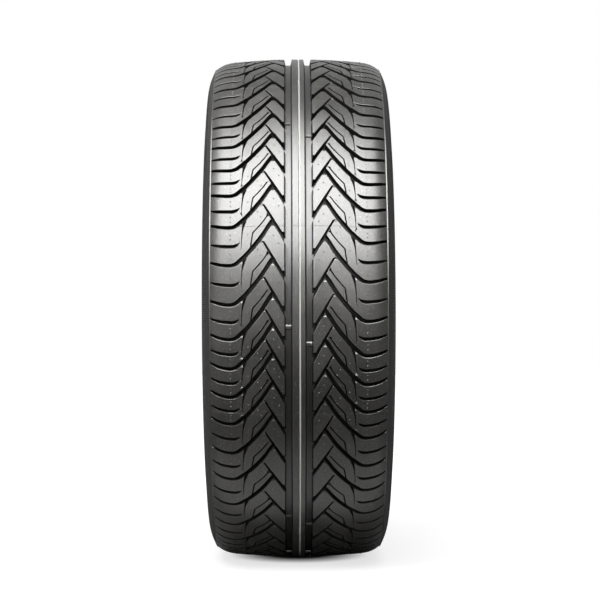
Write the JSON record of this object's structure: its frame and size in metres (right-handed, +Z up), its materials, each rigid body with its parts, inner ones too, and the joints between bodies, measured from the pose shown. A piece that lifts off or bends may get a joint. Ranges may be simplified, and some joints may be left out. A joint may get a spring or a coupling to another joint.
{
  "type": "car tyre",
  "caption": "Directional road tyre off its wheel: tread with a centre rib, slanting grooves and shoulder slots, plain sidewalls, and beads that seat on a rim.",
  "frame": {"origin": "centre of the tyre, on the axle and in the middle plane of the tread", "axes": "+Y along the axle, towards the left of a vehicle; +Z up; +X forward, the way the tread is made to roll"},
  "size_m": [0.68, 0.242, 0.68],
  "materials": {
    "tyre_rubber": "satin black moulded rubber"
  },
  "bodies": {
    "root": {"tyre": "tyre_rubber"}
  },
  "joints": []
}
